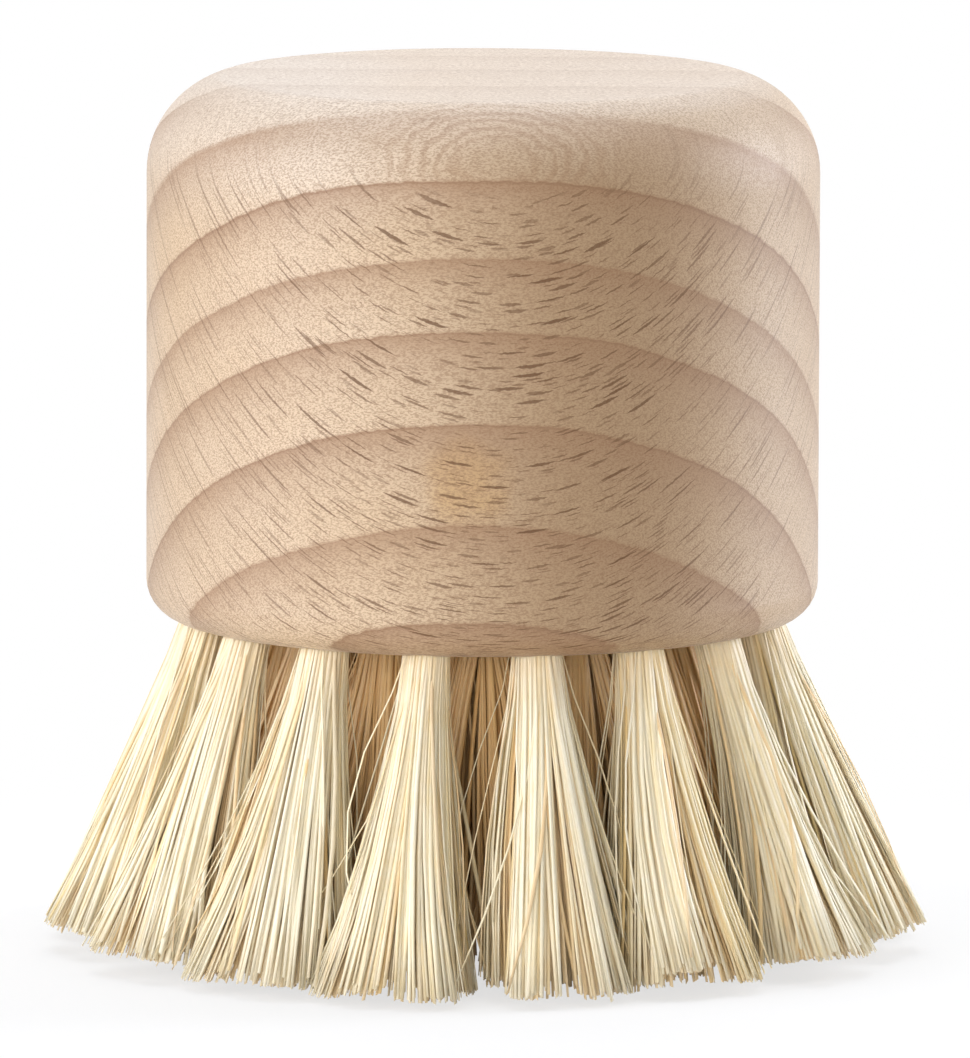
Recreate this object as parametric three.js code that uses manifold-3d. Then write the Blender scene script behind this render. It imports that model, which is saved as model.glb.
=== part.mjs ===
// A palm dish brush: a turned beech knob with rows of plant-fibre tufts set in holes in its underside.
// Millimetres, +Z up. The origin is the centre of the plane that the tips stand on, and -Y is the front.
import * as THREE from "three";
import { mergeVertices } from "three/addons/utils/BufferGeometryUtils.js";
import Module from "manifold-3d";

// Knob
const knobDiameter = 60;
const knobHeight = 48.5;
const shoulderRadius = 9;
const shoulderCreaseDeg = 17;
const baseEdgeRadius = 3.5;

// Holes and the rows they stand in
const holeDiameter = 5;
const holeDepth = 12;
const drillPointDeg = 118;
const rimWall = 2.5;
const rowWall = 3.8;
const anchorWall = 0.8;
const outerSplayDeg = 17;

// Tufts
const bristleReach = 29.5;
const strandRootThickness = 0.85;
const strandTipThickness = 1.2;
const strandSides = 3;
const tipGap = 0.4;
const trimCut = 0.5;
const bedThickness = 1.6;
const bedMargin = 0.6;

// Anchors, the flat plates that each tuft is folded over
const anchorThickness = 0.5;
const anchorHeight = 2;
const anchorBite = 0.4;
const foldThickness = 1.6;

// Fits
const fitGap = 0.3;
const cutOverrun = 4;
const weldDistance = 1e-4;

// Facets
const knobFacets = 48;
const holeFacets = 8;
const arcSteps = 3;

// Sizes that follow
const knobRadius = knobDiameter / 2;
const holeRadius = holeDiameter / 2;
const plugRadius = holeRadius - fitGap;
const underside = bristleReach;
const outerRowRadius = knobRadius - rimWall - holeRadius;
const rowPitch = holeDiameter + rowWall;
const outerSplay = THREE.MathUtils.degToRad(outerSplayDeg);
const bedRadius = outerRowRadius + holeRadius + bedMargin;
const anchorLength = holeDiameter + 2 * anchorBite;
const anchorLift = holeDepth - foldThickness - anchorHeight / 2;
const leastAnchorPitch = anchorLength + 2 * fitGap + anchorWall;
const cutterWidth = 4 * knobDiameter;
const quarters = ["right", "back", "left", "front"];
const quarterSpan = (2 * Math.PI) / quarters.length;
const rowNames = ["outer_row", "second_row", "third_row", "fourth_row", "fifth_row", "sixth_row"];

// A tuft's strands: one in the middle and two rings round it, at these shares of the tuft's radius.
const strandRings = [
  { count: 1, share: 0 },
  { count: 4, share: 0.5 },
  { count: 7, share: 1 },
];

const wasm = await Module();
wasm.setup();

// A closed geometry as a solid that can be joined and cut. Triangles that a pole has closed up are dropped.
function solidOf(geometry) {
  const bare = geometry.clone();
  bare.deleteAttribute("normal");
  bare.deleteAttribute("uv");
  const welded = mergeVertices(bare, weldDistance);
  const corners = welded.index.array;
  const kept = [];
  for (let i = 0; i < corners.length; i += 3) {
    const [a, b, c] = corners.slice(i, i + 3);
    if (a !== b && b !== c && c !== a) {
      kept.push(a, b, c);
    }
  }
  const mesh = new wasm.Mesh({
    numProp: 3,
    vertProperties: welded.attributes.position.array,
    triVerts: new Uint32Array(kept),
  });
  return new wasm.Manifold(mesh);
}

function geometryOf(solid) {
  const mesh = solid.getMesh();
  const geometry = new THREE.BufferGeometry();
  geometry.setAttribute("position", new THREE.BufferAttribute(mesh.vertProperties, 3));
  geometry.setIndex(new THREE.BufferAttribute(mesh.triVerts, 1));
  geometry.computeVertexNormals();
  return geometry;
}

// A profile of radius and height, turned round the Z axis.
function turned(points, facets) {
  return new THREE.LatheGeometry(points, facets).rotateX(Math.PI / 2);
}

function boxFrom(low, high, width) {
  const height = high - low;
  return new THREE.BoxGeometry(width, width, height).translate(0, 0, low + height / 2);
}

// A row leans out by its share of the outer row's splay. Its holes draw together towards their ends, so the
// number of tufts that a quarter has room for is found there.
function rowAt(radius) {
  const splay = (outerSplay * radius) / outerRowRadius;
  const tipRadius = radius + bristleReach * Math.tan(splay);
  const endRadius = radius - holeDepth * Math.sin(splay);
  const perQuarter = Math.floor((quarterSpan * endRadius) / leastAnchorPitch);
  return { radius, splay, tipRadius, perQuarter };
}

// The rows, from the rim inwards. The tufts of each spread until they meet their neighbours.
function tuftRows() {
  const rows = [];
  for (let row = rowAt(outerRowRadius); row.perQuarter > 0; row = rowAt(row.radius - rowPitch)) {
    rows.push({ ...row, name: rowNames[rows.length] });
  }
  rows.forEach((row, i) => {
    const alongRow = 2 * row.tipRadius * Math.sin(quarterSpan / row.perQuarter / 2);
    const neighbours = [rows[i - 1], rows[i + 1]].filter((other) => other);
    const acrossRows = neighbours.map((other) => Math.abs(other.tipRadius - row.tipRadius));
    row.tipSpread = (Math.min(alongRow, ...acrossRows) - strandTipThickness - tipGap) / 2;
  });
  return rows;
}

// The holes of one quarter, each at its angle from the quarter's middle.
function quarterHoles() {
  return tuftRows().flatMap((row) =>
    Array.from({ length: row.perQuarter }, (_, place) => ({
      row,
      place,
      angle: quarterSpan * ((place + 0.5) / row.perQuarter - 0.5),
    })),
  );
}

// A hole's frame: its +Z runs up the hole from the mouth, and its +X points away from the knob's axis.
function holeFrame(hole) {
  const spoke = new THREE.Group();
  const mouth = new THREE.Group();
  spoke.rotation.z = hole.angle;
  mouth.position.set(hole.row.radius, 0, underside);
  mouth.rotation.y = -hole.row.splay;
  spoke.add(mouth);
  spoke.updateMatrixWorld(true);
  return { spoke, mouth };
}

// The shape that a drill leaves, from below the mouth up to its point.
function drilled(radius, depth) {
  const pointHeight = radius / Math.tan(THREE.MathUtils.degToRad(drillPointDeg / 2));
  const profile = [
    new THREE.Vector2(0, -cutOverrun),
    new THREE.Vector2(radius, -cutOverrun),
    new THREE.Vector2(radius, depth),
    new THREE.Vector2(0, depth + pointHeight),
  ];
  return turned(profile, holeFacets);
}

function anchorPlate(clearance) {
  return new THREE.BoxGeometry(
    anchorThickness + 2 * clearance,
    anchorLength + 2 * clearance,
    anchorHeight + 2 * clearance,
  );
}

function anchorSlot() {
  return anchorPlate(fitGap).translate(0, 0, anchorLift);
}

function knobBlank() {
  const crease = THREE.MathUtils.degToRad(shoulderCreaseDeg);
  const top = underside + knobHeight;
  const profile = new THREE.Path();
  const baseCentre = knobRadius - baseEdgeRadius;
  const shoulderCentre = knobRadius - shoulderRadius;
  const tangentHeight = top - shoulderRadius * Math.cos(crease);
  profile.moveTo(0, underside);
  profile.lineTo(baseCentre, underside);
  profile.absarc(baseCentre, underside + baseEdgeRadius, baseEdgeRadius, -Math.PI / 2, 0);
  profile.absarc(shoulderCentre, tangentHeight, shoulderRadius, 0, Math.PI / 2 - crease);
  profile.lineTo(0, top);
  return solidOf(turned(profile.getPoints(arcSteps), knobFacets));
}

// The knob, cut for the tufts' bed and drilled, with the cuts that the anchors' ends bite into the wood.
function knobSolid() {
  const cutRadius = bedRadius + fitGap;
  const cutHeight = bedThickness + fitGap + cutOverrun;
  const bedCut = new THREE.CylinderGeometry(cutRadius, cutRadius, cutHeight, knobFacets)
    .rotateX(Math.PI / 2)
    .translate(0, 0, underside - cutOverrun + cutHeight / 2);
  let knob = knobBlank().subtract(solidOf(bedCut));
  quarters.forEach((_, turn) => {
    const turnMatrix = new THREE.Matrix4().makeRotationZ(turn * quarterSpan);
    quarterHoles().forEach((hole) => {
      const place = turnMatrix.clone().multiply(holeFrame(hole).mouth.matrixWorld);
      knob = knob.subtract(solidOf(drilled(holeRadius, holeDepth).applyMatrix4(place)));
      knob = knob.subtract(solidOf(anchorSlot().applyMatrix4(place)));
    });
  });
  return knob;
}

// A quarter of the bed that the tufts come out of: a slice of the knob's own underside.
function bedSolid() {
  const halfGap = fitGap / 2;
  const reach = quarterSpan / 2 - Math.asin(halfGap / bedRadius);
  const outline = new THREE.Shape();
  outline.moveTo(halfGap / Math.sin(quarterSpan / 2), 0);
  outline.lineTo(bedRadius * Math.cos(reach), -bedRadius * Math.sin(reach));
  outline.absarc(0, 0, bedRadius, -reach, reach);
  outline.closePath();
  const slab = new THREE.ExtrudeGeometry(outline, {
    depth: bedThickness + cutOverrun,
    bevelEnabled: false,
    curveSegments: knobFacets / quarters.length,
  });
  return knobBlank().intersect(solidOf(slab.translate(0, 0, underside - cutOverrun)));
}

// The folded root of a tuft, which fills its hole and straddles its anchor.
function plugSolid(hole) {
  const place = holeFrame(hole).mouth.matrixWorld;
  const root = solidOf(drilled(plugRadius, holeDepth - fitGap).applyMatrix4(place));
  const slot = solidOf(anchorSlot().applyMatrix4(place));
  const belowBed = solidOf(boxFrom(underside - 2 * cutOverrun, underside, cutterWidth));
  return root.subtract(slot).subtract(belowBed);
}

// A straight strand from inside the bed, down past the trim.
function strandSolid(hole, shift) {
  const along = holeFrame(hole).spoke.matrixWorld;
  const rootShift = shift.clone().multiplyScalar(plugRadius - strandRootThickness / 2);
  const tipShift = shift.clone().multiplyScalar(hole.row.tipSpread);
  const atBed = new THREE.Vector3(hole.row.radius + rootShift.x, rootShift.y, underside);
  const atTrim = new THREE.Vector3(hole.row.tipRadius + tipShift.x, tipShift.y, 0);
  const root = atBed.clone().lerp(atTrim, -bedThickness / 2 / bristleReach).applyMatrix4(along);
  const tip = atBed.clone().lerp(atTrim, 1 + trimCut / bristleReach).applyMatrix4(along);
  const run = root.clone().sub(tip);
  const upright = new THREE.Vector3(0, 1, 0);
  const lean = new THREE.Quaternion().setFromUnitVectors(upright, run.clone().normalize());
  const middle = root.clone().add(tip).divideScalar(2);
  const strand = new THREE.CylinderGeometry(
    strandRootThickness / 2,
    strandTipThickness / 2,
    run.length(),
    strandSides,
  );
  return solidOf(strand.applyQuaternion(lean).translate(middle.x, middle.y, middle.z));
}

// The tufts of one quarter, rooted in their share of the bed and trimmed flat at the tips.
function quarterTufts() {
  let tufts = bedSolid();
  quarterHoles().forEach((hole) => {
    tufts = tufts.add(plugSolid(hole));
    strandRings.forEach((ring, level) => {
      for (let i = 0; i < ring.count; i++) {
        const turn = (2 * Math.PI * (i + level / 2)) / ring.count;
        const shift = new THREE.Vector2(Math.cos(turn), Math.sin(turn)).multiplyScalar(ring.share);
        tufts = tufts.add(strandSolid(hole, shift));
      }
    });
  });
  const belowTrim = solidOf(boxFrom(-trimCut - cutOverrun, 0, cutterWidth));
  return tufts.subtract(belowTrim);
}

function named(name, geometry, look) {
  const mesh = new THREE.Mesh(geometry, new THREE.MeshStandardMaterial({ flatShading: true, ...look }));
  mesh.name = name;
  return mesh;
}

const beech = { color: 0xdcb591, roughness: 0.72, metalness: 0 };
const tampico = { color: 0xe3cfa6, roughness: 0.85, metalness: 0 };
const brass = { color: 0xb5974f, roughness: 0.4, metalness: 1 };

const brush = new THREE.Group();
brush.name = "dish_brush";
brush.add(named("beech_knob", geometryOf(knobSolid()), beech));

const tuftGeometry = geometryOf(quarterTufts());
quarters.forEach((side, turn) => {
  const quarter = new THREE.Group();
  quarter.rotation.z = turn * quarterSpan;
  quarter.add(named(`${side}_tufts`, tuftGeometry, tampico));
  quarterHoles().forEach((hole) => {
    const { spoke, mouth } = holeFrame(hole);
    const number = String(turn * hole.row.perQuarter + hole.place + 1).padStart(2, "0");
    const anchor = named(`${hole.row.name}_anchor_${number}`, anchorPlate(0), brass);
    anchor.position.z = anchorLift;
    mouth.add(anchor);
    quarter.add(spoke);
  });
  brush.add(quarter);
});

export default brush;
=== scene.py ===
import math
import random

import bmesh
import bpy
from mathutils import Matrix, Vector


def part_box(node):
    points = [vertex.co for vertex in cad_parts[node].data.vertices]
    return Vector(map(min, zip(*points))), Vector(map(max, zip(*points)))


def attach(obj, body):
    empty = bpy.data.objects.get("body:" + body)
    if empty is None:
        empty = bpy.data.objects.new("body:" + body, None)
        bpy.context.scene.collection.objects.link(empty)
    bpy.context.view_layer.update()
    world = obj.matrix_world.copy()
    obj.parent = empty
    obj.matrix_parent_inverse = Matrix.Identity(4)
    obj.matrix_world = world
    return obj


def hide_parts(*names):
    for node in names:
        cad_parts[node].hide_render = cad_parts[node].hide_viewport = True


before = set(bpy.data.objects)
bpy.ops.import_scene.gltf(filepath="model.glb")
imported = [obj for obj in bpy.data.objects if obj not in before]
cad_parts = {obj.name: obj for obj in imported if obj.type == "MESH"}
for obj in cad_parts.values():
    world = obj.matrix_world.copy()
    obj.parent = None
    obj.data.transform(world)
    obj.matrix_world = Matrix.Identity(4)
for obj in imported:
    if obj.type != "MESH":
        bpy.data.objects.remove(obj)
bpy.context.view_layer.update()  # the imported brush, in metres, tips on z = 0
mm = 0.001
print("frame loaded:", len(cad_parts), "nodes")


# selection and edit mode

def deselectAll():
    if bpy.context.object and bpy.context.object.mode != "OBJECT":
        bpy.ops.object.mode_set(mode="OBJECT")
    bpy.ops.object.select_all(action="DESELECT")


def makeActive(piece):
    deselectAll()
    piece.select_set(True)
    bpy.context.view_layer.objects.active = piece


def startEdit(piece):
    makeActive(piece)
    bpy.ops.object.mode_set(mode="EDIT")
    bpy.ops.mesh.select_all(action="DESELECT")


def endEdit():
    bpy.ops.object.mode_set(mode="OBJECT")


# selects the edges of the mesh in edit mode whose two ends pass a test
def pickEdges(piece, test):
    bpy.ops.mesh.select_all(action="DESELECT")
    bpy.ops.mesh.select_mode(type="EDGE")
    mesh = bmesh.from_edit_mesh(piece.data)
    for edge in mesh.edges:
        edge.select_set(all(test(corner.co) for corner in edge.verts))
    bmesh.update_edit_mesh(piece.data)


# merges doubles and turns all faces outwards, in edit mode
def cleanMesh(merge):
    bpy.ops.mesh.select_all(action="SELECT")
    bpy.ops.mesh.remove_doubles(threshold=merge)
    bpy.ops.mesh.normals_make_consistent(inside=False)


def addModifier(piece, kind, **settings):
    makeActive(piece)
    bpy.ops.object.modifier_add(type=kind)
    modifier = piece.modifiers[-1]
    for key, value in settings.items():
        setattr(modifier, key, value)
    bpy.ops.object.modifier_apply(modifier=modifier.name)


def applyPlace(piece):
    makeActive(piece)
    bpy.ops.object.transform_apply(location=True, rotation=True, scale=True)


def clamp(value, low=0, high=1):
    return min(high, max(low, value))


# shader nodes

def newMaterial(name):
    material = bpy.data.materials.new(name)
    material.use_nodes = True
    tree = material.node_tree
    return material, tree, tree.nodes["Principled BSDF"]


def feed(tree, socket, value):
    if isinstance(value, bpy.types.NodeSocket):
        tree.links.new(value, socket)
    elif value is not None:
        socket.default_value = value


def addNode(tree, kind, inputs=None, **settings):
    node = tree.nodes.new(kind)
    for key, value in settings.items():
        setattr(node, key, value)
    for key, value in (inputs or {}).items():
        feed(tree, node.inputs[key], value)
    return node


def doMath(tree, operation, first, second=None, third=None):
    node = addNode(tree, "ShaderNodeMath", {0: first, 1: second, 2: third}, operation=operation)
    return node.outputs[0]


def product(tree, first, *others):
    for value in others:
        first = doMath(tree, "MULTIPLY", first, value)
    return first


def doVector(tree, operation, first, second=None):
    node = addNode(tree, "ShaderNodeVectorMath", {0: first, 1: second}, operation=operation)
    return node.outputs["Value" if operation in ("LENGTH", "DOT_PRODUCT") else "Vector"]


def splitVector(tree, vector):
    return addNode(tree, "ShaderNodeSeparateXYZ", {"Vector": vector}).outputs


def mapRange(tree, value, low, high, toLow=0.0, toHigh=1.0):
    node = addNode(
        tree,
        "ShaderNodeMapRange",
        {"Value": value, "From Min": low, "From Max": high, "To Min": toLow, "To Max": toHigh},
        interpolation_type="SMOOTHSTEP",
    )
    return node.outputs["Result"]


def mixColor(tree, amount, first, second):
    node = addNode(tree, "ShaderNodeMix", data_type="RGBA")
    feed(tree, node.inputs[0], amount)
    feed(tree, node.inputs[6], first)
    feed(tree, node.inputs[7], second)
    return node.outputs[2]


def noiseAt(tree, place, scale, detail=2.0, roughness=0.5):
    inputs = {"Vector": place, "Scale": scale, "Detail": detail, "Roughness": roughness}
    return addNode(tree, "ShaderNodeTexNoise", inputs).outputs


# a ramp from a list of (place, grey level), its places running from 0 to 1
def greyRamp(tree, value, stops):
    node = addNode(tree, "ShaderNodeValToRGB", {"Fac": value})
    elements = node.color_ramp.elements
    elements[0].position, elements[1].position = stops[0][0], stops[-1][0]
    for stop in stops[1:-1]:
        elements.new(stop[0])
    for element, (place, level) in zip(elements, stops):
        element.position = place
        element.color = (level, level, level, 1)
    return node.outputs["Color"]


def objectPlace(tree):
    return addNode(tree, "ShaderNodeTexCoord").outputs["Object"]


def placeInMm(tree):
    return doVector(tree, "MULTIPLY", objectPlace(tree), (1 / mm, 1 / mm, 1 / mm))


# soft blotches that every finish on the brush carries a little of
def toneMottleGroup():
    group = bpy.data.node_groups.new("tone_mottle", "ShaderNodeTree")
    sockets = group.interface
    sockets.new_socket("Place", in_out="INPUT", socket_type="NodeSocketVector")
    sockets.new_socket("Scale", in_out="INPUT", socket_type="NodeSocketFloat")
    sockets.new_socket("Strength", in_out="INPUT", socket_type="NodeSocketFloat")
    sockets.new_socket("Tone", in_out="OUTPUT", socket_type="NodeSocketFloat")
    ends = addNode(group, "NodeGroupInput").outputs
    noise = noiseAt(group, ends["Place"], ends["Scale"], detail=3.0)
    centred = doMath(group, "SUBTRACT", noise["Fac"], 0.5)
    tone = doMath(group, "MULTIPLY_ADD", centred, ends["Strength"], 0.5)
    addNode(group, "NodeGroupOutput", {"Tone": tone})
    return group


toneMottle = toneMottleGroup()


def addMottle(tree, place, scale, strength):
    inputs = {"Place": place, "Scale": scale, "Strength": strength}
    return addNode(tree, "ShaderNodeGroup", inputs, node_tree=toneMottle).outputs["Tone"]


# bare beech: growth rings round a pith line below and in front of the knob, with ray flecks and pores
# a range of four is from, to, and what these become; across is X and up is Z, both in mm
beech = {
    "pith": (0, -96 * mm, -70.2 * mm),
    "pithTurn": (0, -2.9, -6.2),  # degrees off the X axis
    "rings": [  # mm from the pith
        115.4, 122.6, 129.9, 137.7, 144.9, 150.7,
        157.0, 164.1, 171.9, 179.2, 186.0, 193.3,
    ],
    "innermost": 108,
    "outermost": 200,
    "ringEdge": 0.0008,  # as a share of the way from innermost to outermost
    "wander": 0.9,  # mm, slow
    "wanderScale": 0.06,
    "ragged": 0.4,  # mm, fine
    "raggedScale": 1.1,
    "lateRise": 2.5,  # how late in a ring its wood darkens
    "lineFrom": (0.94, 0.985),

    "pale": (0.68, 0.55, 0.418, 1),
    "golden": (0.63, 0.475, 0.312, 1),
    "goldenMottle": (0.05, 1.8),  # scale and strength
    # brown serves the blotches and the band right of the middle, which is partly painted shade
    "brown": (0.43, 0.304, 0.187, 1),
    # painted highlight colour for the shoulder and the flat top
    "paintedHighlight": (0.71, 0.625, 0.53, 1),
    "late": (0.33, 0.195, 0.11, 1),
    "line": (0.26, 0.150, 0.085, 1),
    "ray": (0.12, 0.049, 0.014, 1),
    "stain": (0.52, 0.325, 0.135, 1),
    "lateAmount": 0.84,
    "lineAmount": 0.62,
    "poreAmount": 0.55,
    "rayAmount": 0.85,

    # browner right of the middle, less so at the edge and up the shoulder: partly the wood's own tone, partly painted
    # shade for the darker band the light leaves there
    "toneShadeAcross": (-12, 8),
    "toneShadeEdge": (14, 28, 1, 0.2),
    "toneShadeUp": (71, 77, 1, 0.25),
    # painted highlight: paler on the shoulder, most at its left where the key light falls, and on the flat top, where
    # it stands for a reflection
    "highlightUp": (65, 75),
    "highlightAcross": (-17, 3, 0.7, 0.1),
    "highlightTop": (76, 77.6, 0, 0.38),
    # painted reflection: the rings fade on the flat top, which pales it
    "reflectionFadeTop": (74, 78, 1, 0.3),  # rings fade there
    # brown blotches on the shoulder
    "blotchMottle": (0.13, 2.2),
    "blotchTone": (0.45, 0.85, 0, 0.45),
    "blotchAcross": (-18, -6, 0.25, 1),
    "blotchUp": (64, 71),
    "blotchTop": (74, 76.5, 1, 0),
    # fine arcs, nested round one place on the shoulder
    "figurePlace": (1.0, -28.8, 73.5),  # mm
    "figureStretch": (0.75, 1, 1.25),
    "figureGap": 1.15,  # mm
    "figureUnsteady": (0.45, 2.2),  # noise scale, mm
    "figureDepth": (-0.6, 1.0, 0, 0.36),
    "figureFrom": (2.0, 4.5),
    "figureTo": (6.5, 11.5, 1, 0),
    "figureUp": (70, 72.5),
    # a golden spot on the front
    "stainPlace": (-1.5, -30, 45.5),  # mm
    "stainDrift": (0.3, 4),  # noise scale, mm
    "stainFade": (1.5, 5.0, 0.6, 0),

    "rayPith": (0, -96 * mm, -40 * mm),  # the rays lean a little more than the rings
    "rayTurn": (0, -2.9, 5.5),
    "rayRadius": 120,  # mm from the pith, where the gaps round the rings are measured
    "rayFray": (2.2, 0.14),  # noise scale, mm
    "rays": [  # gaps along the grain and round the rings in mm, half length and thickness as shares of the gap
        {"gap": (3.6, 0.40), "long": (0.20, 0.47), "thick": (-0.05, 0.29), "depth": (0.45, 1.0)},
        {"gap": (2.3, 0.24), "long": (0.15, 0.46), "thick": (-0.05, 0.29), "depth": (0.2, 0.8)},
    ],
    "rayRowShift": 17,
    "rayOff": (0.3, 0.7),  # a dash's place in its row
    "raySoft": 0.1,
    "rayLying": (0.90, 0.95, 1, 0),  # they fade where the surface lies along them
    "rayEndGrain": (0.35, 0.85, 1, 0.6),  # are faint on the end grain
    "rayUp": (69, 73, 1, 0.18),  # and worn off up the shoulder

    "poreSize": (0.30, 0.13, 0.13),  # mm
    "poreDepth": (0.42, 0.61),
    "roughness": (0.46, 0.61),  # between the pores and in them
    "sheen": 0.12,  # the nap of sanded wood
    "sheenRoughness": 0.35,
    "bump": 0.15,
    "bumpDepth": 0.1 * mm,
    "poreBump": 0.4,  # next to the rays
}


# rises slowly through each ring and drops at its line
def ringStops():
    span = beech["outermost"] - beech["innermost"]
    stops = [(0, 0)]
    for ring in beech["rings"]:
        place = (ring - beech["innermost"]) / span
        stops += [(place - beech["ringEdge"], 1), (place + beech["ringEdge"], 0)]
    return stops + [(1, 1)]


# mm from a pith line, X along the grain
def fromPith(tree, pith, turn):
    inputs = {
        "Vector": objectPlace(tree),
        "Location": pith,
        "Rotation": [math.radians(part) for part in turn],
        "Scale": (mm, mm, mm),
    }
    return addNode(tree, "ShaderNodeMapping", inputs, vector_type="TEXTURE").outputs[0]


# pale early wood that darkens to a sharp line
def growthRings(tree, place, grain):
    radius = doVector(tree, "LENGTH", doVector(tree, "MULTIPLY", grain, (0, 1, 1)))
    slow = noiseAt(tree, place, beech["wanderScale"], detail=1.5)["Fac"]
    fine = noiseAt(tree, place, beech["raggedScale"])["Fac"]
    bent = doMath(tree, "MULTIPLY_ADD", slow, beech["wander"], radius)
    bent = doMath(tree, "MULTIPLY_ADD", fine, beech["ragged"], bent)
    bent = doMath(tree, "SUBTRACT", bent, beech["innermost"] + (beech["wander"] + beech["ragged"]) / 2)
    share = doMath(tree, "DIVIDE", bent, beech["outermost"] - beech["innermost"])
    season = greyRamp(tree, share, ringStops())
    late = doMath(tree, "POWER", season, beech["lateRise"])
    return late, mapRange(tree, season, *beech["lineFrom"])


# lens-shaped dashes in rows, each with its own place, length, thickness and depth
def rayDashes(tree, along, around, layer):
    gapAlong, gapAround = layer["gap"]
    rowPlace = doMath(tree, "DIVIDE", around, gapAround)
    row = doMath(tree, "FLOOR", rowPlace)
    shift = addNode(tree, "ShaderNodeTexWhiteNoise", {"W": row}, noise_dimensions="1D").outputs["Value"]
    place = doMath(tree, "MULTIPLY_ADD", shift, beech["rayRowShift"], doMath(tree, "DIVIDE", along, gapAlong))
    cell = doMath(tree, "FLOOR", place)
    seat = addNode(tree, "ShaderNodeCombineXYZ", {"X": cell, "Y": row}).outputs[0]
    luck = addNode(tree, "ShaderNodeTexWhiteNoise", {"Vector": seat}, noise_dimensions="2D").outputs
    parts = addNode(tree, "ShaderNodeSeparateColor", {"Color": luck["Color"]}).outputs
    halfLong = mapRange(tree, parts["Red"], 0, 1, *layer["long"])
    halfThick = mapRange(tree, parts["Green"], 0, 1, *layer["thick"])
    middle = mapRange(tree, parts["Blue"], 0, 1, *beech["rayOff"])
    offAlong = doMath(tree, "SUBTRACT", doMath(tree, "FRACT", place), 0.5)
    offAround = doMath(tree, "SUBTRACT", doMath(tree, "FRACT", rowPlace), middle)
    lens = doMath(tree, "SUBTRACT", 1, doMath(tree, "POWER", doMath(tree, "DIVIDE", offAlong, halfLong), 2))
    inside = doMath(tree, "SUBTRACT", product(tree, halfThick, lens), doMath(tree, "ABSOLUTE", offAround))
    dash = mapRange(tree, inside, 0, beech["raySoft"])
    return product(tree, dash, mapRange(tree, luck["Value"], 0, 1, *layer["depth"]))


# thin ribbons that run out from the pith
def rayFlecks(tree, place, up):
    parts = splitVector(tree, fromPith(tree, beech["rayPith"], beech["rayTurn"]))
    around = product(tree, doMath(tree, "ARCTAN2", parts["Y"], parts["Z"]), beech["rayRadius"])
    frayScale, fray = beech["rayFray"]
    frayed = doMath(tree, "MULTIPLY_ADD", noiseAt(tree, place, frayScale)["Fac"], fray, around)
    coarse, thin = [rayDashes(tree, parts["X"], frayed, layer) for layer in beech["rays"]]
    rays = doMath(tree, "MAXIMUM", coarse, thin)
    facing = addNode(tree, "ShaderNodeCombineXYZ", {"Y": parts["Z"], "Z": product(tree, parts["Y"], -1)})
    facing = doVector(tree, "NORMALIZE", facing.outputs[0])
    surface = addNode(tree, "ShaderNodeNewGeometry").outputs["Normal"]
    lying = doMath(tree, "ABSOLUTE", doVector(tree, "DOT_PRODUCT", facing, surface))
    endGrain = doMath(tree, "ABSOLUTE", splitVector(tree, surface)["X"])
    return product(
        tree, rays,
        mapRange(tree, lying, *beech["rayLying"]),
        mapRange(tree, endGrain, *beech["rayEndGrain"]),
        mapRange(tree, up, *beech["rayUp"]),
    )


# fine stipple, drawn out along the grain
def poreStipple(tree, grain):
    stretch = tuple(1 / size for size in beech["poreSize"])
    stipple = noiseAt(tree, doVector(tree, "MULTIPLY", grain, stretch), 1.0, roughness=0.65)["Fac"]
    return mapRange(tree, stipple, *beech["poreDepth"])


# the wood's ground colour, with a band of painted shade and a painted highlight, before rings, pores and rays
def groundColor(tree, place, across, up):
    color = mixColor(tree, addMottle(tree, place, *beech["goldenMottle"]), beech["pale"], beech["golden"])
    # painted shade, partly the wood's own brown: a darker band right of the middle
    toneAndShade = product(
        tree,
        mapRange(tree, across, *beech["toneShadeAcross"]),
        mapRange(tree, across, *beech["toneShadeEdge"]),
        mapRange(tree, up, *beech["toneShadeUp"]),
    )
    color = mixColor(tree, toneAndShade, color, beech["brown"])
    # painted highlight on the shoulder, most at its left, and on the flat top
    shoulder = product(
        tree,
        mapRange(tree, up, *beech["highlightUp"]),
        mapRange(tree, across, *beech["highlightAcross"]),
    )
    paintedHighlight = doMath(tree, "MAXIMUM", shoulder, mapRange(tree, up, *beech["highlightTop"]))
    color = mixColor(tree, paintedHighlight, color, beech["paintedHighlight"])
    blotch = product(
        tree,
        mapRange(tree, addMottle(tree, place, *beech["blotchMottle"]), *beech["blotchTone"]),
        mapRange(tree, across, *beech["blotchAcross"]),
        mapRange(tree, up, *beech["blotchUp"]),
        mapRange(tree, up, *beech["blotchTop"]),
    )
    color = mixColor(tree, blotch, color, beech["brown"])
    color = mixColor(tree, shoulderArcs(tree, place, up), color, beech["late"])
    return mixColor(tree, goldenSpot(tree, place), color, beech["stain"])


def shoulderArcs(tree, place, up):
    scale, amount = beech["figureUnsteady"]
    unsteady = product(tree, noiseAt(tree, place, scale)["Fac"], amount)
    apart = doVector(tree, "SUBTRACT", place, beech["figurePlace"])
    apart = doVector(tree, "LENGTH", doVector(tree, "MULTIPLY", apart, beech["figureStretch"]))
    apart = doMath(tree, "ADD", apart, unsteady)
    wave = doMath(tree, "SINE", product(tree, apart, 2 * math.pi / beech["figureGap"]))
    return product(
        tree,
        mapRange(tree, wave, *beech["figureDepth"]),
        mapRange(tree, apart, *beech["figureFrom"]),
        mapRange(tree, apart, *beech["figureTo"]),
        mapRange(tree, up, *beech["figureUp"]),
    )


def goldenSpot(tree, place):
    scale, amount = beech["stainDrift"]
    drift = doVector(tree, "MULTIPLY", noiseAt(tree, place, scale)["Color"], (amount, amount, amount))
    middle = [part + amount / 2 for part in beech["stainPlace"]]
    off = doVector(tree, "SUBTRACT", doVector(tree, "ADD", place, drift), middle)
    return mapRange(tree, doVector(tree, "LENGTH", off), *beech["stainFade"])


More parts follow.
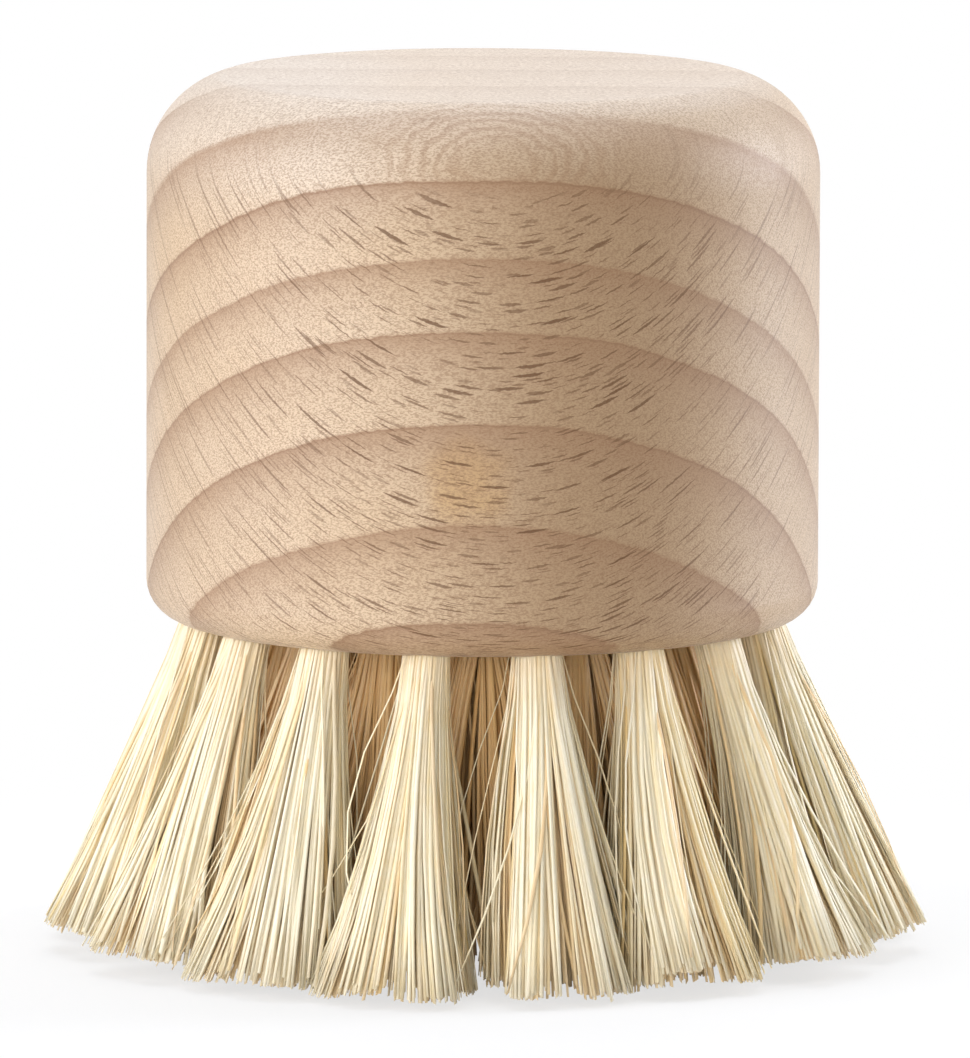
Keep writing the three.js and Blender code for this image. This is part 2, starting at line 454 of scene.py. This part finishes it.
def beechMaterial():
    material, tree, shader = newMaterial("bare_beech")
    place = placeInMm(tree)
    sides = splitVector(tree, place)
    across, up = sides["X"], sides["Z"]
    grain = fromPith(tree, beech["pith"], beech["pithTurn"])
    late, line = growthRings(tree, place, grain)
    rays = rayFlecks(tree, place, up)
    pores = poreStipple(tree, grain)

    # painted reflection: rings and lines fade on the flat top
    reflectionFade = mapRange(tree, up, *beech["reflectionFadeTop"])
    color = groundColor(tree, place, across, up)
    color = mixColor(tree, product(tree, late, reflectionFade, beech["lateAmount"]), color, beech["late"])
    color = mixColor(tree, product(tree, line, reflectionFade, beech["lineAmount"]), color, beech["line"])
    color = mixColor(tree, product(tree, pores, beech["poreAmount"]), color, beech["line"])
    color = mixColor(tree, product(tree, rays, beech["rayAmount"]), color, beech["ray"])
    tree.links.new(color, shader.inputs["Base Color"])

    rough = mapRange(tree, pores, 0, 1, *beech["roughness"])
    tree.links.new(rough, shader.inputs["Roughness"])
    hollow = doMath(tree, "MULTIPLY_ADD", pores, beech["poreBump"], rays)
    dent = {"Height": hollow, "Strength": beech["bump"], "Distance": beech["bumpDepth"]}
    bump = addNode(tree, "ShaderNodeBump", dent, invert=True)
    tree.links.new(bump.outputs["Normal"], shader.inputs["Normal"])
    shader.inputs["Sheen Weight"].default_value = beech["sheen"]
    shader.inputs["Sheen Roughness"].default_value = beech["sheenRoughness"]
    return material


# dry plant fibre: cream to straw, each fibre its own tone, with painted shade inside the tufts and near the root
fibreFinish = {
    "ivory": (0.92, 0.87, 0.70, 1),
    "straw": (0.90, 0.74, 0.40, 1),
    # painted shade: the warm tan of fibres lying in shade inside the tufts and in the inner rows
    "inside": (0.87, 0.57, 0.245, 1),
    # painted shade near the root, where the knob shades the fibres
    "root": (0.88, 0.55, 0.245, 1),
    "mottle": (0.6, 0.7),  # scale and strength
    "shadeTowardTip": (0.5, 1.0, 1.0, 0.75),  # along the fibre, the inside's colour fades to the tip
    "rootShadeFade": (0.0, 0.45, 0.35, 0.0),
    "roughness": (0.36, 0.52),
    "roughMottle": (0.2, 0.8),
    "gloss": 0.45,
}


# the attribute fibreTone holds a fibre's tone, the place along it and how deep in the brush it lies, which sets how
# much painted shade it gets
def fibreMaterial():
    material, tree, shader = newMaterial("plant_fibre")
    fibreTone = addNode(tree, "ShaderNodeAttribute", attribute_name="fibreTone").outputs["Color"]
    parts = addNode(tree, "ShaderNodeSeparateColor", {"Color": fibreTone}).outputs
    tone, along, shadeShare = parts["Red"], parts["Green"], parts["Blue"]
    mottle = addMottle(tree, placeInMm(tree), *fibreFinish["mottle"])
    shade = doMath(tree, "ADD", tone, doMath(tree, "SUBTRACT", mottle, 0.5))
    shade = doMath(tree, "MAXIMUM", doMath(tree, "MINIMUM", shade, 1), 0)
    color = mixColor(tree, shade, fibreFinish["ivory"], fibreFinish["straw"])
    # painted shade inside the tufts and in the inner rows, fading towards the tip
    shadeShare = product(tree, shadeShare, mapRange(tree, along, *fibreFinish["shadeTowardTip"]))
    color = mixColor(tree, shadeShare, color, fibreFinish["inside"])
    # painted shade near the root
    color = mixColor(tree, mapRange(tree, along, *fibreFinish["rootShadeFade"]), color, fibreFinish["root"])
    tree.links.new(color, shader.inputs["Base Color"])
    rough = mapRange(tree, mottle, *fibreFinish["roughMottle"], *fibreFinish["roughness"])
    tree.links.new(rough, shader.inputs["Roughness"])
    shader.inputs["Specular IOR Level"].default_value = fibreFinish["gloss"]
    return material


# dull drawn brass for the anchor plates
brassFinish = {
    "bright": (0.66, 0.50, 0.20, 1),
    "dull": (0.38, 0.27, 0.11, 1),
    "drawn": (1, 1, 6),  # the mottle's stretch
    "mottle": (1.5, 1.2),  # scale and strength
    "roughMottle": (0.2, 0.8),
    "roughness": (0.38, 0.58),
}


def brassMaterial():
    material, tree, shader = newMaterial("anchor_brass")
    drawn = doVector(tree, "MULTIPLY", placeInMm(tree), brassFinish["drawn"])
    mottle = addMottle(tree, drawn, *brassFinish["mottle"])
    color = mixColor(tree, mottle, brassFinish["bright"], brassFinish["dull"])
    tree.links.new(color, shader.inputs["Base Color"])
    rough = mapRange(tree, mottle, *brassFinish["roughMottle"], *brassFinish["roughness"])
    tree.links.new(rough, shader.inputs["Roughness"])
    shader.inputs["Metallic"].default_value = 1
    return material


# rows of tufts, from the rim inwards: where each stands and leans, and how far it opens outwards and along the row
# inside is how much painted shade its fibres carry, outside and in the middle; above 1, late keeps it closed for
# longer
tuftRows = [
    {
        "name": "outer", "count": 16, "radius": 25 * mm, "splay": 17,
        "spread": (7.0 * mm, 7.8 * mm), "root": 2.05 * mm, "fibres": 580,
        "inside": (0.0, 0.6), "late": (1.1, 1.5),
    },
    {
        "name": "second", "count": 12, "radius": 16.2 * mm, "splay": 11,
        "spread": (7.2 * mm, 8.2 * mm), "root": 2.35 * mm, "fibres": 340,
        "inside": (0.78, 0.95), "late": (0.7, 0.9),
    },
    {
        "name": "third", "count": 4, "radius": 7.4 * mm, "splay": 5,
        "spread": (7.0 * mm, 8.0 * mm), "root": 2.4 * mm, "fibres": 300,
        "inside": (0.85, 1.0), "late": (0.6, 0.8),
    },
]
quarterNodes = ["right_tufts", "back_tufts", "left_tufts", "front_tufts"]
quarterStart = -45  # degrees


# every tuft's row, number and angle round the knob, starting from the first quarter's edge
def tuftSeats():
    for row in tuftRows:
        for number in range(row["count"]):
            yield row, number, math.radians(360 * (number + 0.5) / row["count"] + quarterStart)


# the knob
knobShape = {
    "sides": 160,
    "underside": 29.5 * mm,
    "shoulder": 9 * mm,
    "shoulderSteps": 18,
    "crease": 17,  # degrees between the shoulder's end and the flat top
    "creaseSoft": 0.6 * mm,
    "creaseSteps": 3,
    "baseEdge": 3.5 * mm,
    "baseSteps": 8,
    "holeRadius": 2.5 * mm,
    "holeDepth": 12 * mm,
    "holeSides": 28,
    "drillPoint": 0.6,  # times the hole's radius
    "drillBelow": 4 * mm,  # how far the drill stands out of the underside
    "smoothAngle": 25,
    "normalWeight": 80,
}
tiny = 0.01 * mm


def turnKnob():
    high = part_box("beech_knob")[1]
    radius, top = high.x, high.z
    underside, shoulder = knobShape["underside"], knobShape["shoulder"]
    crease = math.radians(knobShape["crease"])
    stock = top + shoulder * (1 - math.cos(crease))  # the shoulder's round runs up past the flat
    flatRadius = radius - shoulder * (1 - math.sin(crease))
    justInside = 0.2 * mm

    deselectAll()
    bpy.ops.mesh.primitive_cylinder_add(
        vertices=knobShape["sides"], radius=radius, depth=stock - underside,
        location=(0, 0, (stock + underside) / 2), end_fill_type="NGON")
    knob = bpy.context.object
    knob.name = knob.data.name = "turned_knob"
    applyPlace(knob)
    startEdit(knob)
    pickEdges(knob, lambda co: co.z > stock - tiny)
    bpy.ops.mesh.bevel(offset=shoulder, segments=knobShape["shoulderSteps"], profile=0.5, affect="EDGES")
    pickEdges(knob, lambda co: co.z < underside + tiny)
    bpy.ops.mesh.bevel(offset=knobShape["baseEdge"], segments=knobShape["baseSteps"], profile=0.5, affect="EDGES")
    bpy.ops.mesh.select_all(action="SELECT")
    bpy.ops.mesh.bisect(plane_co=(0, 0, top), plane_no=(0, 0, 1), use_fill=True, clear_outer=True)
    pickEdges(knob, lambda co: co.z > top - tiny and co.xy.length > flatRadius - justInside)
    bpy.ops.mesh.bevel(offset=knobShape["creaseSoft"], segments=knobShape["creaseSteps"], profile=0.5, affect="EDGES")
    cleanMesh(tiny)
    endEdit()
    return knob


# a round drill with a pointed end, upright, its depth measured from z = 0
def modelDrill():
    radius, depth, below = knobShape["holeRadius"], knobShape["holeDepth"], knobShape["drillBelow"]
    deselectAll()
    bpy.ops.mesh.primitive_cylinder_add(
        vertices=knobShape["holeSides"], radius=radius, depth=depth + below,
        location=(0, 0, (depth - below) / 2), end_fill_type="TRIFAN")
    drill = bpy.context.object
    applyPlace(drill)
    startEdit(drill)
    mesh = bmesh.from_edit_mesh(drill.data)
    bpy.ops.mesh.select_mode(type="VERT")
    for corner in mesh.verts:
        corner.select_set(corner.co.xy.length < radius / 2 and corner.co.z > 0)
    bmesh.update_edit_mesh(drill.data)
    # only the middle of the upper end is selected
    bpy.ops.transform.translate(value=(0, 0, knobShape["drillPoint"] * radius))
    endEdit()
    return drill


# the drill is copied to every seat, and the copies are taken out of the knob together
def drillKnob(knob):
    drill = modelDrill()
    drills = []
    for row, number, angle in tuftSeats():
        makeActive(drill)
        bpy.ops.object.duplicate()
        copy = bpy.context.object
        copy.location = (row["radius"] * math.cos(angle), row["radius"] * math.sin(angle), knobShape["underside"])
        copy.rotation_euler = (0, -math.radians(row["splay"]), angle)
        drills.append(copy)
    makeActive(drill)
    bpy.ops.object.delete()
    for copy in drills:
        copy.select_set(True)
    bpy.context.view_layer.objects.active = drills[0]
    bpy.ops.object.join()
    cutter = bpy.context.object
    applyPlace(cutter)
    addModifier(knob, "BOOLEAN", operation="DIFFERENCE", object=cutter, solver="EXACT")
    makeActive(cutter)
    bpy.ops.object.delete()

    startEdit(knob)
    cleanMesh(tiny / 2)
    endEdit()
    bpy.ops.object.shade_smooth_by_angle(angle=math.radians(knobShape["smoothAngle"]))
    addModifier(knob, "WEIGHTED_NORMAL", keep_sharp=True, weight=knobShape["normalWeight"])


# a fibre, one unit wide and one unit long, to be copied into every tuft
fibre = {
    "sides": 6,
    "steps": 6,
    "tipWide": 1.22,  # times the root
    "blunt": 0.7,
    "usualWide": (0.34 * mm, 0.06 * mm),  # and its spread
    "wide": (0.22 * mm, 0.46 * mm),  # narrowest and widest
    "flat": (0.28, 0.45),  # thickness as a share of the width
    "twist": 0.3,  # radians, off the round of the tuft
    "slant": 0.5,  # of the cut end
    "inHole": 7 * mm,
    "outerLayer": 0.55,  # below 1, most fibres lie near the outside of the tuft
    "rootTurn": 0.12,  # radians, off an even spread
    "tipTurn": 0.10,
    "rootReach": (0.94, 1.0),
    "tipReach": (0.88, 1.05),
    "gather": (0.5, 1.1),  # times the lock's own
    "bow": 0.14 * mm,
    "short": 0.55 * mm,
    "tone": (0.12, 0.15),
    "yellowShare": 0.2,
    "yellow": (0.2, 0.5),
    # painted shade inside a tuft starts here and deepens over the next share
    "shadeFrom": 0.97,  # as a share of the tuft's radius, inwards
    "shadeOver": 0.22,
    "brokenShare": 0.015,
    "broken": (0.15, 0.45),  # of the reach
}
# fine loose hairs, a few in each tuft
hair = {
    "count": 10,
    "wide": 0.2 * mm,
    "drift": (0.6 * mm, 3.4 * mm),
    "inFrom": 0.4,  # of the spread, which keeps them off the outline
    "bow": (0.5 * mm, 2.0 * mm),
    "short": 6 * mm,
}
# fibres that leave their place
stray = {"share": 0.08, "drift": (0.6 * mm, 2.4 * mm), "bow": 5, "short": 1.2 * mm}
# fibres of a tuft gather in loose locks
lockShape = {
    "count": (6, 11),
    "turn": 0.45,
    "across": (0.8, 1.1),
    "drift": (0.5 * mm, 1.3 * mm),
    "loosest": 0.03,
    "tighter": 0.75,
    "mostlyLoose": 1.5,
    "bow": (0.2 * mm, 0.5 * mm),
    "short": 0.7 * mm,
    "tone": 0.14,
}
# a whole tuft at the trim
tuftShape = {
    "sway": (0.6 * mm, 0.9 * mm),  # how far it may lean off its place
    "open": (0.93, 1.1),  # times the row's spread
    "square": 0.72,  # 1 is round
    "rimTrim": 0.5 * mm,  # the rim is trimmed a little higher, most of all at the two sides
    "sideTrim": 1.5 * mm,
    "rimRadius": 39 * mm,
    "rimSteep": 4,
    "floorGap": 0.02 * mm,
}


def modelFibre():
    deselectAll()
    bpy.ops.mesh.primitive_circle_add(vertices=fibre["sides"], radius=0.5, fill_type="NGON", location=(0, 0, 0))
    master = bpy.context.object
    bpy.ops.object.mode_set(mode="EDIT")
    bpy.ops.mesh.select_all(action="SELECT")
    wider = fibre["tipWide"] ** (1 / fibre["steps"])
    for step in range(fibre["steps"]):
        bpy.ops.mesh.extrude_region_move(TRANSFORM_OT_translate={"value": (0, 0, 1 / fibre["steps"])})
        bpy.ops.transform.resize(value=(wider, wider, 1))
    bpy.ops.transform.resize(value=(fibre["blunt"], fibre["blunt"], 1))  # the end is cut, then worn
    bpy.ops.mesh.select_all(action="SELECT")
    bpy.ops.mesh.normals_make_consistent(inside=False)
    endEdit()
    return master


# points spread evenly over a disc of radius 1, from its middle outwards
def spreadOver(count):
    goldenAngle = math.pi * (3 - math.sqrt(5))
    for i in range(count):
        yield math.sqrt((i + 0.5) / count), i * goldenAngle


# a random step outwards and along the row
def drifted(rng, out, side):
    return Vector((rng.gauss(0, out), rng.gauss(0, side)))


# how one tuft stands: where it sways to, how wide it opens, how late, and its locks
def standTuft(row, angle, rng):
    swayOut, swaySide = tuftShape["sway"]
    tuft = {
        "row": row,
        "angle": angle,
        "sway": Vector((rng.uniform(-1, 1) * swayOut, rng.uniform(-1, 1) * swaySide)),
        "open": rng.uniform(*tuftShape["open"]),
        "late": rng.uniform(*row["late"]),
    }
    tuft["locks"] = tuftLocks(tuft, rng)
    return tuft


# a place at the trim, from the middle of the tuft, whose outline there is a rounded square
def openedTo(tuft, across, turn):
    out, side = tuft["row"]["spread"]
    x, y = (math.copysign(abs(part) ** tuftShape["square"], part) for part in (math.cos(turn), math.sin(turn)))
    return Vector((out * x, side * tuft["open"] * y)) * across


# the locks of a tuft: where each ends, how tightly it gathers, how it bends, how short it is and its tone
def tuftLocks(tuft, rng):
    locks = []
    for across, turn in spreadOver(rng.randint(*lockShape["count"])):
        turn += rng.uniform(-lockShape["turn"], lockShape["turn"])
        across *= rng.uniform(*lockShape["across"])
        start = openedTo(tuft, across, turn)
        locks.append({
            "start": start,
            "end": start + drifted(rng, *lockShape["drift"]),
            "gather": lockShape["loosest"] + lockShape["tighter"] * rng.random() ** lockShape["mostlyLoose"],
            "bow": drifted(rng, *lockShape["bow"]),
            "short": abs(rng.gauss(0, lockShape["short"])),
            "tone": rng.gauss(0, lockShape["tone"]),
        })
    return locks


# the way one fibre runs: from inside the hole, along the tuft's lean and out to its place at the trim
def fibreRun(tuft, rng, across, turn, lock, isHair):
    row = tuft["row"]
    reach = knobShape["underside"]
    lean = math.tan(math.radians(row["splay"]))
    rootTurn = turn + rng.uniform(-fibre["rootTurn"], fibre["rootTurn"])
    tipTurn = turn + rng.gauss(0, fibre["tipTurn"])
    rootOut = row["root"] * across * rng.uniform(*fibre["rootReach"])
    root = Vector((rootOut * math.cos(rootTurn), rootOut * math.sin(rootTurn)))
    tip = openedTo(tuft, across * rng.uniform(*fibre["tipReach"]), tipTurn)
    tip = tip.lerp(lock["end"], lock["gather"] * rng.uniform(*fibre["gather"])) + tuft["sway"]
    bow = drifted(rng, fibre["bow"], fibre["bow"])
    short = lock["short"] + abs(rng.gauss(0, fibre["short"]))
    if isHair:
        tip += drifted(rng, *hair["drift"])
        tip.x = min(tip.x, hair["inFrom"] * row["spread"][0])
        bow = drifted(rng, *hair["bow"])
        short += rng.uniform(0, hair["short"])
    elif rng.random() < stray["share"]:
        tip += drifted(rng, *stray["drift"])
        bow *= stray["bow"]
        short += rng.uniform(0, stray["short"])
    bow += lock["bow"]
    if rng.random() < fibre["brokenShare"]:
        short += reach * rng.uniform(*fibre["broken"])
    endRadius = row["radius"] + lean * reach + tip.x
    trim = tuftShape["rimTrim"] + tuftShape["sideTrim"] * math.cos(tuft["angle"]) ** 2
    short += trim * (endRadius / tuftShape["rimRadius"]) ** tuftShape["rimSteep"]

    def pointAt(along):
        drop = along * (reach - short + fibre["inHole"]) - fibre["inHole"]
        x = clamp(drop / reach)
        place = root.lerp(tip, x ** tuft["late"]) + bow * math.sin(math.pi * x)
        return row["radius"] + lean * drop + place.x, place.y, reach - drop

    return pointAt


def growTuft(row, number, angle, master):
    rng = random.Random(f"{row['name']} {number}")
    points = [corner.co.copy() for corner in master.data.vertices]
    # a fibre hangs tip down, which turns its faces over
    rings = [tuple(reversed(face.vertices)) for face in master.data.polygons]
    verts, faces, tones = [], [], []
    cosA, sinA = math.cos(angle), math.sin(angle)
    # painted shade at the tuft's outside and in its middle
    shadeAtSide, shadeAtMiddle = row["inside"]
    tuft = standTuft(row, angle, rng)
    for count, (across, turn) in enumerate(spreadOver(row["fibres"] + hair["count"])):
        isHair = count >= row["fibres"]
        across = across ** fibre["outerLayer"]
        place = openedTo(tuft, across, turn)
        lock = min(tuft["locks"], key=lambda entry: (entry["start"] - place).length)
        pointAt = fibreRun(tuft, rng, across, turn, lock, isHair)
        wide = clamp(rng.gauss(*fibre["usualWide"]), *fibre["wide"])
        wide = hair["wide"] if isHair else wide
        thick = wide * rng.uniform(*fibre["flat"])
        twist = turn + math.pi / 2 + rng.gauss(0, fibre["twist"])  # its flat lies round the tuft
        yellow = rng.uniform(*fibre["yellow"]) if rng.random() < fibre["yellowShare"] else 0
        tone = clamp(rng.gauss(*fibre["tone"]) + lock["tone"] + yellow)
        # painted shade, more for fibres lying deeper in the tuft
        shadeShare = shadeAtSide + (shadeAtMiddle - shadeAtSide) * clamp((fibre["shadeFrom"] - across) / fibre["shadeOver"])
        slant = rng.gauss(0, fibre["slant"])
        first = len(verts)
        for co in points:
            out, side, height = pointAt(co.z)
            dx, dy = co.x * wide, co.y * thick
            out += dx * math.cos(twist) - dy * math.sin(twist)
            side += dx * math.sin(twist) + dy * math.cos(twist)
            if co.z > 0.99:  # the cut end
                height += slant * dx
            height = max(height, tuftShape["floorGap"])
            verts.append((out * cosA - side * sinA, out * sinA + side * cosA, height))
            tones.append((tone, co.z, shadeShare, 1))
        faces += [tuple(first + v for v in ring) for ring in rings]
    mesh = bpy.data.meshes.new(f"{row['name']}_tuft_{number + 1:02d}")
    mesh.from_pydata(verts, [], faces)
    layer = mesh.attributes.new("fibreTone", "FLOAT_COLOR", "POINT")
    layer.data.foreach_set("color", [part for tone in tones for part in tone])
    piece = bpy.data.objects.new(mesh.name, mesh)
    bpy.context.scene.collection.objects.link(piece)
    makeActive(piece)
    bpy.ops.object.shade_smooth()
    return piece


# camera
cameraSetup = {
    "distance": 1500 * mm,
    "elevation": 7.51,
    "target": (0.24 * mm, 0, 37.32 * mm),
    "roll": 0.18,
    "focalPixels": 16794,
    "photoHeight": 1058,
    "sensor": 36,
    "clip": (0.05, 20),
}


def placeCamera():
    deselectAll()
    elevation = math.radians(cameraSetup["elevation"])
    target = Vector(cameraSetup["target"])
    back = Vector((0, -math.cos(elevation), math.sin(elevation)))
    bpy.ops.object.camera_add(location=target + back * cameraSetup["distance"],
                              rotation=(math.pi / 2 - elevation, 0, 0))
    camera = bpy.context.object
    camera.rotation_euler.rotate_axis("Z", math.radians(cameraSetup["roll"]))
    camera.data.sensor_width = cameraSetup["sensor"]
    camera.data.lens = cameraSetup["focalPixels"] * cameraSetup["sensor"] / cameraSetup["photoHeight"]
    camera.data.clip_start, camera.data.clip_end = cameraSetup["clip"]
    bpy.context.scene.camera = camera


# studio: wide soft light from the left, a cooler strip on the right a little behind, light from above
# and a low warm fill near the camera
lamps = [
    {"name": "key_left", "place": (-0.85, -0.28, 0.33), "size": (0.8, 0.7), "watts": 6.3, "tint": (0.99, 1.025, 1.13)},
    {"name": "key_front", "place": (-0.67, -0.56, 0.40), "size": (0.8, 0.7), "watts": 0.6, "tint": (1, 0.99, 0.95)},
    {"name": "rim_right", "place": (0.74, 0.30, 0.25), "size": (0.25, 0.5), "watts": 5.6, "tint": (0.98, 1.01, 1.10)},
    {"name": "top", "place": (0.0, 0.05, 0.8), "size": (0.6, 0.6), "watts": 3.6, "tint": (0.97, 1.01, 1.08)},
    {"name": "top_back", "place": (0.0, 0.55, 0.6), "size": (0.6, 0.4), "watts": 1.6, "tint": (1, 1.01, 1.05)},
    {"name": "low_fill", "place": (-0.24, -0.9, 0.17), "size": (0.9, 0.4), "watts": 4.1, "tint": (1, 0.90, 0.77)},
]
stageSetup = {
    "aim": (0, 0, 0.04),
    "white": (1, 1, 1, 1),
    "ambient": 0.02,
    "floorSize": 8,
    "floorTone": (0.94, 0.94, 0.94, 1),
    "floorBounce": (0.94, 0.89, 0.80, 1),  # the light that it throws back
    "floorRoughness": 0.9,
    "floorGloss": 0.1,
    "whiteFrom": 0.045,  # metres from the middle
    "whiteTo": 0.11,
    "shadowFade": 0.7,
}


def seenDirectly(tree):
    path = addNode(tree, "ShaderNodeLightPath").outputs
    seen = doMath(tree, "MAXIMUM", path["Is Camera Ray"], path["Is Glossy Ray"])
    return doMath(tree, "MAXIMUM", seen, path["Is Transmission Ray"])


def hangLamps():
    for lamp in lamps:
        deselectAll()
        place = Vector(lamp["place"])
        aim = (Vector(stageSetup["aim"]) - place).to_track_quat("-Z", "Y").to_euler()
        bpy.ops.object.light_add(type="AREA", location=place, rotation=aim)
        light = bpy.context.object
        light.name = lamp["name"]
        light.data.shape = "RECTANGLE"
        light.data.size, light.data.size_y = lamp["size"]
        light.data.energy = lamp["watts"]
        light.data.color = lamp["tint"]


# faint all round, white where it is seen
def lightWorld():
    world = bpy.data.worlds.new("studio")
    bpy.context.scene.world = world
    world.use_nodes = True
    tree = world.node_tree
    ambient = tree.nodes["Background"]
    ambient.inputs["Color"].default_value = stageSetup["white"]
    ambient.inputs["Strength"].default_value = stageSetup["ambient"]
    white = addNode(tree, "ShaderNodeBackground", {"Color": stageSetup["white"], "Strength": 1.0})
    mix = addNode(tree, "ShaderNodeMixShader", {0: seenDirectly(tree), 1: ambient.outputs[0], 2: white.outputs[0]})
    tree.links.new(mix.outputs[0], tree.nodes["World Output"].inputs["Surface"])


# keeps a soft shadow near the brush and turns white away from it
def floorMaterial():
    material, tree, shader = newMaterial("pale_floor")
    direct = seenDirectly(tree)
    tone = mixColor(tree, direct, stageSetup["floorBounce"], stageSetup["floorTone"])
    tree.links.new(tone, shader.inputs["Base Color"])
    shader.inputs["Roughness"].default_value = stageSetup["floorRoughness"]
    shader.inputs["Specular IOR Level"].default_value = stageSetup["floorGloss"]
    away = doVector(tree, "LENGTH", objectPlace(tree))
    far = mapRange(tree, away, stageSetup["whiteFrom"], stageSetup["whiteTo"])
    faint = mapRange(tree, far, 0, 1, stageSetup["shadowFade"], 1)
    glow = addNode(tree, "ShaderNodeEmission", {"Color": stageSetup["white"], "Strength": 1.0})
    amount = product(tree, faint, direct)
    mix = addNode(tree, "ShaderNodeMixShader", {0: amount, 1: shader.outputs[0], 2: glow.outputs[0]})
    tree.links.new(mix.outputs[0], tree.nodes["Material Output"].inputs["Surface"])
    return material


def layFloor():
    deselectAll()
    bpy.ops.mesh.primitive_plane_add(size=stageSetup["floorSize"])
    floor = bpy.context.object
    floor.name = "floor"
    floor.data.materials.append(floorMaterial())


# putting it together
placeCamera()
hangLamps()
lightWorld()
layFloor()
bpy.context.scene.view_settings.view_transform = "Standard"
print("camera and light placed")

knob = turnKnob()
drillKnob(knob)
knob.data.materials.clear()
knob.data.materials.append(beechMaterial())
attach(knob, "root")
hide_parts("beech_knob")
print("knob turned and drilled:", len(knob.data.polygons), "faces")

fibreLook = fibreMaterial()
master = modelFibre()
for row, number, angle in tuftSeats():
    tuft = growTuft(row, number, angle, master)
    tuft.data.materials.append(fibreLook)
    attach(tuft, "root")
    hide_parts(quarterNodes[number * len(quarterNodes) // row["count"]])
makeActive(master)
bpy.ops.object.delete()
print("tufts grown:", sum(row["count"] for row in tuftRows))

brass = brassMaterial()
for name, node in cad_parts.items():
    if "anchor" in name:
        node.data.materials.clear()
        node.data.materials.append(brass)
print("anchors finished")
